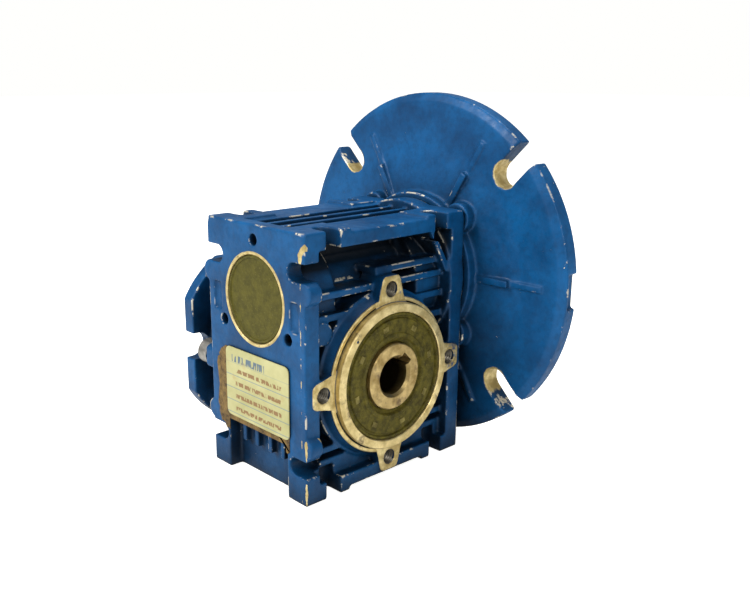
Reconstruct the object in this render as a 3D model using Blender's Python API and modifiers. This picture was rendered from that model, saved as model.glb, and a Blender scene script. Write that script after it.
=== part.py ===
"""Worm gearbox of frame size 30 with a motor flange and an output flange.

Every helper takes millimetres about the gearbox's own axes. The output shaft runs along X at y = 0, z = OUT_Z,
and the worm runs along Y at x = 0, z = WORM_Z. ORIGIN moves all of it so that the frame's origin is the middle
of the bounding box's underside.
"""

import math

import bmesh
import bpy
from mathutils import Matrix, Vector

MM = 0.001
ORIGIN = Vector((0.0, -7.15, 0.0))

OUT_Z = 40.0
WORM_Z = 70.0
HALF_WIDTH = 28.0
HALF_LENGTH = 40.0
HEIGHT = 97.0
EAR_PLANE = 29.0
SPIGOT_PLANE = 31.5
SPIGOT_RADIUS = 27.5
EAR_PITCH = 32.5
EAR_TIP = 37.5
FOOT_X = 22.0
FOOT_Y = 27.0
SLOT_WIDTH = 6.5
BORE = 7.0
MOTOR_BORE = 5.5
MOTOR_FACE = 55.0
MOTOR_RADIUS = 70.0
MOTOR_PITCH = 57.5
OUTPUT_FACE = -54.5
OUTPUT_RADIUS = 40.0
OUTPUT_FLAT = 35.0

MODULE = 1.44
TEETH = 30
WHEEL_PITCH = MODULE * TEETH / 2
WORM_PITCH = WORM_Z - OUT_Z - WHEEL_PITCH
LEAD = math.pi * MODULE
GAP = 0.3

AXES = {"X": (1, 2, 0), "Y": (2, 0, 1), "Z": (0, 1, 2)}
OUTPUT_AXIS = (0.0, 0.0, OUT_Z)
WORM_AXIS = (0.0, 0.0, WORM_Z)
STATIC = (0.0, 0.0, 0.0)


def collection(name, hidden=False):
    made = bpy.data.collections.new(name)
    made.hide_render = hidden
    bpy.context.scene.collection.children.link(made)
    return made


def clear_scene():
    for obj in list(bpy.data.objects):
        bpy.data.objects.remove(obj)


def paint(name, colour, metallic, roughness):
    material = bpy.data.materials.new(name)
    material.use_nodes = True
    shader = material.node_tree.nodes["Principled BSDF"]
    shader.inputs["Base Color"].default_value = (*colour, 1.0)
    shader.inputs["Metallic"].default_value = metallic
    shader.inputs["Roughness"].default_value = roughness
    return material


def axis_rotation(axis):
    """The rotation that takes a shape made along Z to one along the axis, first coordinate to first."""
    columns = [Vector([float(i == index) for i in range(3)]) for index in AXES[axis]]
    return Matrix(columns).transposed().to_euler()


def place(name, mesh, axis="Z", centre=STATIC):
    """An object whose mesh is in metres about the centre, lying along the axis."""
    obj = bpy.data.objects.new(name, mesh)
    obj.rotation_euler = axis_rotation(axis)
    obj.location = (Vector(centre) + ORIGIN) * MM
    PARTS.objects.link(obj)
    return obj


def from_bmesh(name, shape):
    mesh = bpy.data.meshes.new(name)
    shape.to_mesh(mesh)
    shape.free()
    return mesh


def box(name, low, high):
    shape = bmesh.new()
    size = Vector(high) - Vector(low)
    middle = (Vector(high) + Vector(low)) / 2
    bmesh.ops.create_cube(shape, size=MM)
    bmesh.ops.scale(shape, vec=size, verts=shape.verts)
    bmesh.ops.translate(shape, vec=middle * MM, verts=shape.verts)
    return place(name, from_bmesh(name, shape))


def rod(name, axis, middle, radius, low, high, steps=32, start=0.0):
    """A cylinder along the axis, through the middle (a, b) across it."""
    shape = bmesh.new()
    bmesh.ops.create_cone(shape, cap_ends=True, segments=steps, radius1=radius * MM, radius2=radius * MM,
                          depth=(high - low) * MM)
    bmesh.ops.rotate(shape, matrix=Matrix.Rotation(start, 3, "Z"), verts=shape.verts)
    bmesh.ops.translate(shape, vec=Vector((*middle, (low + high) / 2)) * MM, verts=shape.verts)
    return place(name, from_bmesh(name, shape), axis)


def sphere(name, middle, radius):
    shape = bmesh.new()
    bmesh.ops.create_icosphere(shape, subdivisions=1, radius=radius * MM)
    return place(name, from_bmesh(name, shape), "Z", middle)


def prism(name, axis, outline, low, high):
    """The flat outline of points (a, b) across the axis, extruded along it."""
    curve = bpy.data.curves.new(name, "CURVE")
    curve.dimensions = "2D"
    curve.fill_mode = "BOTH"
    curve.extrude = (high - low) / 2 * MM
    spline = curve.splines.new("POLY")
    spline.points.add(len(outline) - 1)
    for point, (a, b) in zip(spline.points, outline):
        point.co = (a * MM, b * MM, 0.0, 1.0)
    spline.use_cyclic_u = True
    drawn = bpy.data.objects.new(name, curve)
    PARTS.objects.link(drawn)
    graph = bpy.context.evaluated_depsgraph_get()
    mesh = bpy.data.meshes.new_from_object(drawn.evaluated_get(graph))
    bpy.data.objects.remove(drawn)
    bpy.data.curves.remove(curve)
    shape = bmesh.new()
    shape.from_mesh(mesh)
    bpy.data.meshes.remove(mesh)
    bmesh.ops.remove_doubles(shape, verts=shape.verts, dist=1e-6)
    bmesh.ops.translate(shape, vec=Vector((0, 0, (low + high) / 2 * MM)), verts=shape.verts)
    bmesh.ops.recalc_face_normals(shape, faces=shape.faces)
    return place(name, from_bmesh(name, shape), axis)


def lathe(name, axis, centre, profile, steps=36):
    """The closed profile of (height, radius), turned round the axis through the centre by a Screw modifier."""
    _, _, along = AXES[axis]
    shape = bmesh.new()
    verts = [shape.verts.new(Vector((r, 0, h - centre[along])) * MM) for h, r in profile]
    for one, two in zip(verts, verts[1:] + verts[:1]):
        if one.co.x or two.co.x:
            shape.edges.new((one, two))
    obj = place(name, from_bmesh(name, shape), axis, centre)
    turn = obj.modifiers.new("turn", "SCREW")
    turn.axis = "Z"
    turn.steps = steps
    turn.render_steps = steps
    turn.use_merge_vertices = True
    turn.merge_threshold = 1e-6
    turn.use_normal_flip = volume(obj) < 0
    return obj


def volume(obj):
    """The volume inside the object's faces, negative when they point inwards."""
    graph = bpy.context.evaluated_depsgraph_get()
    shape = bmesh.new()
    shape.from_mesh(obj.evaluated_get(graph).data)
    inside = shape.calc_volume(signed=True)
    shape.free()
    return inside


def ring_points(radius, steps, middle=(0.0, 0.0), start=0.0):
    turn = [start + 2 * math.pi * i / steps for i in range(steps)]
    return [(middle[0] + radius * math.cos(t), middle[1] + radius * math.sin(t)) for t in turn]


def loft(name, points, faces, centre=STATIC):
    """A solid that no primitive makes, from points in millimetres."""
    shape = bmesh.new()
    verts = [shape.verts.new((Vector(point) - Vector(centre)) * MM) for point in points]
    for face in faces:
        shape.faces.new([verts[index] for index in face])
    bmesh.ops.recalc_face_normals(shape, faces=shape.faces)
    return place(name, from_bmesh(name, shape), "Z", centre)


def use(target, operation, tools):
    """Joins the tools to the target or cuts them from it, and puts them with the hidden helpers.

    The housing and its cover have shapes that meet in one plane, where EXACT leaves gaps, so they take MANIFOLD.
    """
    for tool in tools:
        modifier = target.modifiers.new(f"{operation.lower()}_{tool.name}", "BOOLEAN")
        modifier.operation = operation
        modifier.solver = "MANIFOLD" if target.name in ("housing", "side_cover") else "EXACT"
        modifier.object = tool
        PARTS.objects.unlink(tool)
        CUTTERS.objects.link(tool)
        tool.hide_render = True
        tool.display_type = "WIRE"
    return target


def join(target, *tools):
    return use(target, "UNION", tools)


def cut(target, *tools):
    return use(target, "DIFFERENCE", tools)


def turned(outline, angle, middle):
    """The outline turned by an angle in degrees and moved to the middle."""
    c, s = math.cos(math.radians(angle)), math.sin(math.radians(angle))
    return [(middle[0] + a * c - b * s, middle[1] + a * s + b * c) for a, b in outline]


def slot_outline(inner, outer, width):
    """A slot along the first coordinate with a round inner end."""
    half = width / 2
    turn = [math.radians(90 + 180 * i / 8) for i in range(9)]
    tip = [(inner + half + half * math.cos(t), half * math.sin(t)) for t in turn]
    return [*tip, (outer, -half), (outer, half)]


def ear_outline():
    side = [(24, 9), (28.5, 6.6), (35.8, 4.7), (EAR_TIP, 3.2)]
    return side + [(a, -b) for a, b in reversed(side)]


def ears(name, low, high):
    return [
        prism(f"{name}_ear_{angle}", "X", turned(ear_outline(), angle, (0, OUT_Z)), low, high)
        for angle in (0, 90, 180, 270)
    ]


def ear_holes(name, radius, low, high):
    made = []
    for angle in (0, 90, 180, 270):
        middle = turned([(EAR_PITCH, 0)], angle, (0, OUT_Z))[0]
        made.append(rod(f"{name}_hole_{angle}", "X", middle, radius, low, high, 12, 0.11))
    return made


def end_plate(name, low, high):
    r = 4.0
    corner = [(HALF_WIDTH, 0), (HALF_WIDTH, HEIGHT - r), (HALF_WIDTH - 0.3 * r, HEIGHT - 0.3 * r),
              (HALF_WIDTH - r, HEIGHT)]
    outline = corner + [(-x, z) for x, z in reversed(corner)]
    return prism(name, "Y", [(z, x) for x, z in outline], low, high)


def rails(name, side):
    """The foot rails along one side, at the top and at the underside."""
    made = []
    for level, low, high in (("top", 90.5, HEIGHT), ("base", 0.0, 6.5)):
        x = sorted((side * 13.0, side * HALF_WIDTH))
        made.append(box(f"{name}_{level}", (x[0], -39.5, low), (x[1], 39.5, high)))
    return made


def side_ribs(name, side):
    made = []
    for z, y0, y1 in ((57.5, -34.5, 34.5), (65.5, -34.5, 34.5), (73.5, -34.5, 34.5), (79.0, -4.0, 34.5),
                      (17.0, -34.5, 34.5)):
        x = sorted((side * 14.0, side * 24.5))
        made.append(box(f"{name}_rib_{z:.0f}", (x[0], y0, z - 1.3), (x[1], y1, z + 1.3)))
    return made


def housing_mass():
    body = box("housing", (-16, -37, 12), (16, 37, 76))
    join(body, box("crown", (-9, -37, 70), (9, 37, 91)))
    join(body, rod("wheel_case", "X", (0, OUT_Z), 32.0, -22, 24.5, 32))
    join(body, rod("cover_seat", "X", (0, OUT_Z), 36.0, -25, -13, 32))
    profile = [(20, 0), (20, 31.0), (28.4, 31.0), (28.4, SPIGOT_RADIUS), (SPIGOT_PLANE, SPIGOT_RADIUS),
               (SPIGOT_PLANE, 0)]
    join(body, lathe("output_boss", "X", OUTPUT_AXIS, profile, 40))
    join(body, rod("worm_case", "Y", (WORM_Z, 0), 16.5, -38, 38, 24))
    join(body, rod("cap_case", "Y", (WORM_Z, 0), 21.0, -38, -20, 24))
    join(body, rod("motor_case", "Y", (WORM_Z, 0), 23.0, 19, 38, 24))
    join(body, box("base_web", (-23.7, -33.2, 5.7), (23.7, 33.0, 13)))
    join(body, rod("motor_boss", "Y", (WORM_Z, 0), 29.0, 32, 39.6, 28))
    join(body, end_plate("cap_plate", -HALF_LENGTH, -33.5), end_plate("motor_plate", 33.1, HALF_LENGTH))
    for side in (1, -1):
        name = "near" if side > 0 else "far"
        join(body, *rails(f"{name}_rail", side), *side_ribs(name, side))
    join(body, *ears("near", 17, EAR_PLANE))
    join(body, rod("side_boss", "X", (-29.5, 60.5), 4.2, 14, 25.3, 14))
    join(body, prism("gusset", "X", [(21.5, 91), (23.5, 91), (33.5, 75), (31.0, 74)], 14, 27.4))
    join(body, *[rod(f"far_lug_{tool}", "X", middle, 5.0, -25, -13, 16)
                 for tool, middle in enumerate(((0, 72.5), (32.5, 40), (0, 7.5), (-32.5, 40)))])
    return body


def cut_slots(body):
    """The open slots of the feet and of the cap-end plate, the relief between them and the lips beside them."""
    for side in (1, -1):
        name = "near" if side > 0 else "far"
        angle = 0 if side > 0 else 180
        inner = FOOT_X - SLOT_WIDTH / 2
        for z in (13.5, 83.5):
            outline = [(z + b, a) for a, b in turned(slot_outline(inner, 36, SLOT_WIDTH), angle, (0, 0))]
            cut(body, prism(f"{name}_end_slot_{z:.0f}", "Y", outline, -41, -30))
        for y in (FOOT_Y, -FOOT_Y):
            outline = turned(slot_outline(inner, 36, SLOT_WIDTH), angle, (0, y))
            place = "motor" if y > 0 else "cap"
            cut(body, prism(f"{name}_{place}_top_slot", "Z", outline, 86.5, 98))
            cut(body, prism(f"{name}_{place}_base_slot", "Z", outline, -1, 10.5))
        x = sorted((side * 12.9, side * 30))
        cut(body, box(f"{name}_top_relief", (x[0], -19, 95.7), (x[1], 19, 99)))
        cut(body, box(f"{name}_base_relief", (x[0], -19, -1), (x[1], 19, 1.3)))
        for level, z in (("low", 21.5), ("high", 76.5)):
            outline = ring_points(4.0, 12, (z, side * 27.0))
            join(body, prism(f"{name}_{level}_lip", "Y", outline, -HALF_LENGTH, -34.5))


def cut_chambers(body):
    """The bores along both axes, with their bearing seats, and the room for the side cover."""
    profile = [(-30, 0), (-30, 38.6), (-25, 38.6), (-25, 29), (-12, 29), (-12, 26), (10.4, 26), (10.4, 23.7),
               (33, 23.7), (33, 0)]
    cut(body, lathe("output_bores", "X", OUTPUT_AXIS, profile, 36))
    profile = [(-42, 0), (-42, 16.2), (-33.4, 16.2), (-33.4, 17.3), (-32.0, 17.3), (-32.0, 16.2), (-21.2, 16.2),
               (-21.2, 12.5), (20.7, 12.5), (20.7, 18.7), (42, 18.7), (42, 0)]
    cut(body, lathe("worm_bores", "Y", WORM_AXIS, profile, 28))


def cut_holes(body):
    cut(body, *ear_holes("near", 2.5, 17.8, 33))
    cut(body, *ear_holes("far", 2.5, -30, -15))
    for angle in (90, 210, 330):
        x, z = turned([(21.5, 0)], angle, (0, WORM_Z))[0]
        cut(body, rod(f"cap_hole_{angle}", "Y", (z, x), 2.1, -42, -35, 10, 0.11))
    for angle in (45, 135, 225, 315):
        x, z = turned([(EAR_PITCH, 0)], angle, (0, WORM_Z))[0]
        cut(body, rod(f"motor_hole_{angle}", "Y", (z, x), 2.5, 33.5, 42, 10, 0.11))
        y, z = turned([(32.4, 0)], angle, (0, OUT_Z))[0]
        cut(body, rod(f"cover_hole_{angle}", "X", (y, z), 1.9, -30, -19.7, 8, 0.11))


def cut_casting(body):
    """The hollows that lighten the casting: under the cap plate, behind it and along the top."""
    cut(body, box("end_gap", (-17.5, -41, -1), (17.5, -34.6, 22)))
    cut(body, box("motor_gap", (-17.5, 33.6, -1), (17.5, 41, 22)))
    cut(body, box("top_trough", (-13, -34, 93.5), (13, 31.5, 98)))
    for x in (-22.3, 22.3):
        cut(body, box(f"plate_groove_{x:.0f}", (x - 2.2, -41, 62.5), (x + 2.2, -39.1, 73)))
    for x in (-11.5, -4.0, 4.0, 11.5):
        join(body, box(f"base_fin_{x:.0f}", (x - 1.1, -37.5, 12), (x + 1.1, 37.5, 22.5)))
        join(body, box(f"top_fin_{x:.0f}", (x - 1.1, -34.5, 90), (x + 1.1, 33.6, 95.8)))


def make_housing():
    body = housing_mass()
    cut_casting(body)
    cut_slots(body)
    cut_chambers(body)
    cut_holes(body)
    return body


def make_side_cover():
    cover = rod("side_cover", "X", (0, OUT_Z), 36.0, -EAR_PLANE, -25.3, 32)
    join(cover, *ears("cover", -EAR_PLANE, -25.3))
    join(cover, rod("cover_plug", "X", (0, OUT_Z), 28.7, -26, -12.4, 32))
    join(cover, rod("cover_spigot", "X", (0, OUT_Z), SPIGOT_RADIUS, -SPIGOT_PLANE, -28, 32))
    cut(cover, rod("worm_room", "Y", (WORM_Z, 0), 19.2, -36, 36, 20))
    cut(cover, rod("far_seat", "X", (0, OUT_Z), 23.7, -33, -10, 32))
    cut(cover, *ear_holes("cover", 2.5, -30, -24))
    for angle in (45, 135, 225, 315):
        middle = turned([(32.4, 0)], angle, (0, OUT_Z))[0]
        cut(cover, rod(f"screw_head_{angle}", "X", middle, 3.2, -30, -27, 16))
        cut(cover, rod(f"screw_shank_{angle}", "X", middle, 1.9, -28, -24, 12))
    return cover


def screw(name, axis, middle, head, shank, socket, steps=16):
    """A socket screw. Head and shank are (radius, start, end) along the axis, from the head's outer face."""
    a, b, _ = AXES[axis]
    centre = [0.0, 0.0, 0.0]
    centre[a], centre[b] = middle
    sink = head[1] + math.copysign(abs(head[2] - head[1]) * 0.6, head[2] - head[1])
    profile = [(sink, 0), (sink, socket), (head[1], socket), (head[1], head[0]), (head[2], head[0]),
               (head[2], shank[0]), (shank[2], shank[0]), (shank[2], 0)]
    return lathe(name, axis, tuple(centre), profile, steps)


def make_screws():
    made = []
    for i, angle in enumerate((45, 135, 225, 315)):
        middle = turned([(32.4, 0)], angle, (0, OUT_Z))[0]
        made.append(screw(f"cover_screw_{i + 1}", "X", middle, (2.9, -28.9, -27.3), (1.65, 0, -20.2), 1.3, 10))
        x, z = turned([(EAR_PITCH, 0)], angle, (0, WORM_Z))[0]
        made.append(screw(f"motor_flange_screw_{i + 1}", "Y", (z, x), (4.5, 51.0, 47.6), (2.25, 0, 34.2), 2.2, 12))
    for i, angle in enumerate((0, 90, 180, 270)):
        middle = turned([(EAR_PITCH, 0)], angle, (0, OUT_Z))[0]
        made.append(screw(f"output_flange_bolt_{i + 1}", "X", middle, (4.9, -42.3, -36.4), (2.2, 0, -16), 2.6, 12))
    return made


def make_output_flange():
    profile = [(-29.3, 33), (-36, 33), (-36, 26.8), (-48.5, 26.8), (-48.5, 40), (OUTPUT_FACE, 40),
               (OUTPUT_FACE, 25), (-50.5, 25), (-50.5, 23.6), (-31.8, 23.6), (-31.8, 27.9), (-29.3, 27.9)]
    flange = lathe("output_flange", "X", OUTPUT_AXIS, profile, 36)
    for angle in (0, 90, 180, 270):
        ear = prism(f"flange_lobe_{angle}", "X", turned(ear_outline(), angle, (0, OUT_Z)), -36, -29.3)
        cut(ear, rod(f"lobe_trim_{angle}", "X", (0, OUT_Z), 30.0, -37, -28, 48))
        join(flange, ear)
        flat = turned([(OUTPUT_FLAT, -50), (60, -50), (60, 50), (OUTPUT_FLAT, 50)], angle, (0, OUT_Z))
        cut(flange, prism(f"flange_flat_{angle}", "X", flat, -56, -47))
        open_slot = turned(slot_outline(EAR_PITCH - 5.4, 46, 10.8), angle, (0, OUT_Z))
        cut(flange, prism(f"flange_slot_{angle}", "X", open_slot, -56, -47.5))
    cut(flange, *ear_holes("flange", 3.2, -37, -28))
    return flange


def make_motor_flange():
    profile = [(40.3, 14), (40.3, 31), (44.6, 31), (46.9, 50.5), (46.9, 67), (48.4, MOTOR_RADIUS),
               (54.2, MOTOR_RADIUS), (MOTOR_FACE, 69.2), (MOTOR_FACE, 47.5), (51.4, 47.5), (51.4, 14)]
    flange = lathe("motor_flange", "Y", WORM_AXIS, profile, 60)
    for angle in range(0, 360, 60):
        tip = [(30, -1.5), (60, -1.5), (60, 1.5), (30, 1.5)]
        outline = turned([(b, a) for a, b in tip], angle, (WORM_Z, 0))
        rib = prism(f"flange_rib_{angle}", "Y", outline, 46.0, 47.5)
        join(flange, rib)
        outline = turned([(b, a) for a, b in [(29, -1.8), (46, -1.8), (46, 1.8), (29, 1.8)]], angle, (WORM_Z, 0))
        join(flange, prism(f"flange_root_{angle}", "Y", outline, 44.0, 48.2))
    for angle in (45, 135, 225, 315):
        x, z = turned([(EAR_PITCH, 0)], angle, (0, WORM_Z))[0]
        join(flange, rod(f"screw_lug_{angle}", "Y", (z, x), 5.9, 40.6, 47.2, 20))
        cut(flange, rod(f"lug_bore_{angle}", "Y", (z, x), 2.9, 39, 48, 16))
        cut(flange, rod(f"lug_sink_{angle}", "Y", (z, x), 5.1, 47.3, 52, 20))
        outline = [(b, a) for a, b in slot_outline(MOTOR_PITCH - 5.0, 75, 10.0)]
        cut(flange, prism(f"motor_slot_{angle}", "Y", turned(outline, angle, (WORM_Z, 0)), 45, 56))
    cut(flange, box("rim_notch", (67.7, 49.5, 63.6), (72, 57, 76.7)))
    return flange


def make_bearing(name, axis, centre, middle, width, outer, inner, pitch, ball, count):
    """Outer race, inner race and ball set. Outer and inner are (seat radius, shoulder radius) of the races."""
    low, high = middle - width / 2, middle + width / 2
    reach = ball + 0.3
    for kind, race, dip in (("outer", outer, pitch + ball + 0.3), ("inner", inner, pitch - ball - 0.3)):
        back, face = race
        profile = [(low, back), (low, face), (middle - reach, face), (middle - 0.4 * ball, dip),
                   (middle + 0.4 * ball, dip), (middle + reach, face), (high, face), (high, back)]
        lathe(f"{name}_{kind}_race", axis, centre, profile, 18)
    band = [(middle - 0.35 * width, pitch - 0.5), (middle + 0.35 * width, pitch - 0.5),
            (middle + 0.35 * width, pitch + 0.5), (middle - 0.35 * width, pitch + 0.5)]
    cage = lathe(f"{name}_ball_set", axis, centre, band, 18)
    a, b, along_axis = AXES[axis]
    for i in range(count):
        turn = 2 * math.pi * i / count
        place = [0.0, 0.0, 0.0]
        place[a] = centre[a] + pitch * math.cos(turn)
        place[b] = centre[b] + pitch * math.sin(turn)
        place[along_axis] = middle
        join(cage, sphere(f"{name}_ball_{i}", place, ball))


def make_bearings():
    for name, middle in (("near_output", 17.3), ("far_output", -17.3)):
        make_bearing(name, "X", OUTPUT_AXIS, middle, 12, (23.4, 20.4), (12.7, 15.4), 17.95, 3.2, 9)
    make_bearing("cap_worm", "Y", WORM_AXIS, -26.6, 10, (15.9, 13.2), (6.2, 8.8), 11.0, 2.75, 7)
    make_bearing("motor_worm", "Y", WORM_AXIS, 25.6, 9, (18.4, 16.2), (10.2, 12.2), 14.2, 2.4, 9)


def make_seals():
    for name, side in (("near_output_seal", 1), ("far_output_seal", -1)):
        profile = [(side * x, r) for x, r in ((24.2, 23.4), (30.9, 23.4), (30.9, 15.6), (30.2, 12.85),
                                              (28.6, 12.85), (28.6, 21.6), (24.2, 21.6))]
        lathe(name, "X", OUTPUT_AXIS, profile, 24)
    profile = [(32.2, 18.4), (38.8, 18.4), (38.8, 10.4), (37.0, 10.4), (37.0, 16.8), (32.2, 16.8)]
    lathe("motor_seal", "Y", WORM_AXIS, profile, 24)


def make_end_cap():
    profile = [(-39.7, 0), (-39.7, 15.2), (-38.9, 15.9), (-33.7, 15.9), (-33.7, 13.4), (-37.4, 13.4), (-37.4, 0)]
    lathe("end_cap", "Y", WORM_AXIS, profile, 28)
    clip = lathe("cap_circlip", "Y", WORM_AXIS, [(-33.2, 13.2), (-33.2, 16.9), (-32.2, 16.9), (-32.2, 13.2)], 24)
    cut(clip, box("clip_gap", (-4, -35, WORM_Z - 20), (4, -31, WORM_Z - 8)))


def make_nameplate():
    r = 2.0
    x0, x1, z0, z1 = -17.5, 19.5, 22.5, 49.5
    outline = [(z0, x0 + r), (z0, x1 - r), (z0 + r, x1), (z1 - r, x1), (z1, x1 - r), (z1, x0 + r),
               (z1 - r, x0), (z0 + r, x0)]
    prism("nameplate", "Y", outline, -40.7, -40.3)


def helix(name, radius_low, radius_high, half_low, half_high, low, high, per_turn=12):
    """The worm's thread: its section swept round the worm's axis, right-handed."""
    steps = round((high - low) / LEAD * per_turn)
    points, faces = [], []
    section = [(radius_low, -half_low), (radius_high, -half_high), (radius_high, half_high), (radius_low, half_low)]
    for i in range(steps + 1):
        height = low + (high - low) * i / steps
        turn = 2 * math.pi * height / LEAD
        for radius, offset in section:
            points.append((-radius * math.sin(turn), height + offset, WORM_Z - radius * math.cos(turn)))
        if i:
            base = 4 * i
            for k in range(4):
                n = (k + 1) % 4
                faces.append((base - 4 + k, base - 4 + n, base + n, base + k))
    faces += [(0, 1, 2, 3), tuple(range(4 * steps, 4 * steps + 4))]
    return loft(name, points, faces)


def key_slot(name, axis, middle, width, reach, angle, low, high):
    outline = turned([(0, -width / 2), (reach, -width / 2), (reach, width / 2), (0, width / 2)], angle, middle)
    return prism(name, axis, outline, low, high)


def make_worm():
    profile = [(-32.4, 0), (-32.4, 5.9), (-21.2, 5.9), (-21.2, 7.6), (-17, 7.6), (-15.5, 6.5), (15, 6.5),
               (17, 9), (17, 11.4), (20.8, 11.4), (20.8, 9.9), (54, 9.9), (54, 6.2), (53.3, MOTOR_BORE),
               (27, MOTOR_BORE), (27, 0)]
    worm = lathe("worm_shaft", "Y", WORM_AXIS, profile, 20)
    join(worm, helix("worm_thread", 6.1, 9.5, 1.45, 0.42, -13.5, 13.5))
    cut(worm, key_slot("motor_keyway", "Y", (WORM_Z, 0), 4.0, 7.3, 0, 29, 56))
    return worm


def tooth_angle(radius):
    """Half the angle that a tooth fills at this radius, for an involute of 20 degrees with backlash."""
    base = WHEEL_PITCH * math.cos(math.radians(20))
    press = math.acos(min(1.0, base / radius))
    thickness = math.pi * MODULE / 2 - 0.55
    return (thickness / 2 / WHEEL_PITCH + math.tan(math.radians(20)) - math.radians(20)
            - (math.tan(press) - press))


def make_wheel():
    half = 6.5
    radii = (19.6, 20.4, 21.6, 22.6)
    slope = LEAD / (2 * math.pi * WORM_PITCH) / WHEEL_PITCH
    ring = []
    for i in range(TEETH):
        middle = 2 * math.pi * (i + 0.5) / TEETH
        ring += [(r, middle - tooth_angle(r)) for r in radii] + [(r, middle + tooth_angle(r)) for r in radii[::-1]]
    count = len(ring)
    points, faces = [], []
    for x in (-half, half):
        for r, t in ring:
            points.append((x, -r * math.sin(t + slope * x), OUT_Z + r * math.cos(t + slope * x)))
    for i in range(count):
        faces.append((i, (i + 1) % count, (i + 1) % count + count, i + count))
    faces += [tuple(range(count)), tuple(range(count, 2 * count))]
    rim = loft("wheel_rim", points, faces, OUTPUT_AXIS)
    cut(rim, lathe("rim_bore", "X", OUTPUT_AXIS, [(-8, 0), (-8, 16.4), (8, 16.4), (8, 0)], 32))
    profile = [(-31.2, 8.0), (-31.2, 12.2), (-30.9, 12.5), (-10.9, 12.5), (-10.9, 13.6), (-6.5, 13.6),
               (-6.5, 16.1), (6.5, 16.1), (6.5, 13.6), (10.9, 13.6), (10.9, 12.5), (30.9, 12.5),
               (31.2, 12.2), (31.2, 8.0), (30.2, BORE), (-30.2, BORE)]
    hub = lathe("output_shaft", "X", OUTPUT_AXIS, profile, 28)
    cut(hub, key_slot("output_keyway", "X", (0, OUT_Z), 5.0, 9.3, 45, -32, 32))


def shade_round():
    for obj in PARTS.objects:
        for polygon in obj.data.polygons:
            polygon.use_smooth = True
        obj.data.set_sharp_from_angle(angle=math.radians(32))


def colour_parts():
    looks = {
        "blue_paint": ((0.03, 0.17, 0.42), 0.0, 0.4, ("housing", "side_cover", "output_flange", "motor_flange")),
        "seal_rubber": ((0.10, 0.08, 0.03), 0.0, 0.7, ("near_output_seal", "far_output_seal", "motor_seal",
                                                       "end_cap")),
        "label_foil": ((0.80, 0.78, 0.62), 0.0, 0.5, ("nameplate",)),
        "wheel_bronze": ((0.55, 0.36, 0.12), 1.0, 0.35, ("wheel_rim",)),
        "shaft_steel": ((0.42, 0.41, 0.38), 1.0, 0.35, ("worm_shaft", "output_shaft", "cap_circlip")),
        "bearing_steel": ((0.55, 0.55, 0.54), 1.0, 0.2, ("race", "ball_set")),
        "screw_steel": ((0.30, 0.30, 0.29), 1.0, 0.4, ("screw", "bolt")),
    }
    for name, (colour, metallic, roughness, keys) in looks.items():
        material = paint(name, colour, metallic, roughness)
        for obj in PARTS.objects:
            if any(key in obj.name for key in keys) and not obj.data.materials:
                obj.data.materials.append(material)


clear_scene()
PARTS = collection("worm_gearbox")
CUTTERS = collection("cutters", hidden=True)
make_housing()
make_side_cover()
make_screws()
make_output_flange()
make_motor_flange()
make_bearings()
make_seals()
make_end_cap()
make_nameplate()
make_worm()
make_wheel()
shade_round()
colour_parts()
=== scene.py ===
"""The looks of the worm gearbox: cast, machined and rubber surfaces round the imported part, with its stage.

Lengths are in millimetres about the gearbox's own axes, as in the part: the output shaft runs along X at
y = 0, z = OUT_Z, and the worm runs along Y at x = 0, z = WORM_Z.
"""

import math
import random

import bmesh
import bpy
from mathutils import Matrix, Vector


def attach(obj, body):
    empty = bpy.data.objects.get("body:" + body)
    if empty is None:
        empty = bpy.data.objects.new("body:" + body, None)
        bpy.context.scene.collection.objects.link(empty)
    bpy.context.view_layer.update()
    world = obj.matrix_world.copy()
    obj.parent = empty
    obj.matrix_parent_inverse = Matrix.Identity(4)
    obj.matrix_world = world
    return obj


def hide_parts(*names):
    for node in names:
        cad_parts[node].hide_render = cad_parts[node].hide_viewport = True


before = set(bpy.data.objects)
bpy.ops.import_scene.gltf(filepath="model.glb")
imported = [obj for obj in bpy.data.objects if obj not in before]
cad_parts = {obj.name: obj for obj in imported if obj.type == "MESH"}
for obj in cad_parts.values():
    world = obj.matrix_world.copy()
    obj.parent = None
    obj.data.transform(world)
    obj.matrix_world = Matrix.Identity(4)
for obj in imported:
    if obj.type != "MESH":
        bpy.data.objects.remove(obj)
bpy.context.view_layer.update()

MM = 0.001
ORIGIN = Vector((0.0, -7.15, 0.0))
OUT_Z = 40.0
WORM_Z = 70.0
HALF_WIDTH = 28.0
HALF_LENGTH = 40.0
HEIGHT = 97.0
EAR_PLANE = 29.0
SPIGOT_PLANE = 31.5
SPIGOT_RADIUS = 27.5
EAR_PITCH = 32.5
EAR_TIP = 37.5
FOOT_X = 22.0
FOOT_Y = 27.0
SLOT_WIDTH = 6.5
MOTOR_FACE = 55.0
MOTOR_RADIUS = 70.0
OUTPUT_FACE = -54.5
COVER_PITCH = 32.4
CAP_PITCH = 21.5
SLOT_SEAT = 40.66
DICE = random.Random(30)
AXES = {"X": (1, 2, 0), "Y": (2, 0, 1), "Z": (0, 1, 2)}
OUTPUT_AXIS = (0.0, 0.0, OUT_Z)
WORM_AXIS = (0.0, 0.0, WORM_Z)
QUARTERS = (0, 90, 180, 270)
DIAGONALS = (45, 135, 225, 315)


# Shapes


def place(name, shape, axis="Z", centre=(0, 0, 0)):
    mesh = bpy.data.meshes.new(name)
    shape.to_mesh(mesh)
    shape.free()
    obj = bpy.data.objects.new(name, mesh)
    columns = [Vector([float(i == index) for i in range(3)]) for index in AXES[axis]]
    obj.rotation_euler = Matrix(columns).transposed().to_euler()
    obj.location = (Vector(centre) + ORIGIN) * MM
    bpy.context.scene.collection.objects.link(obj)
    return obj


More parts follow.
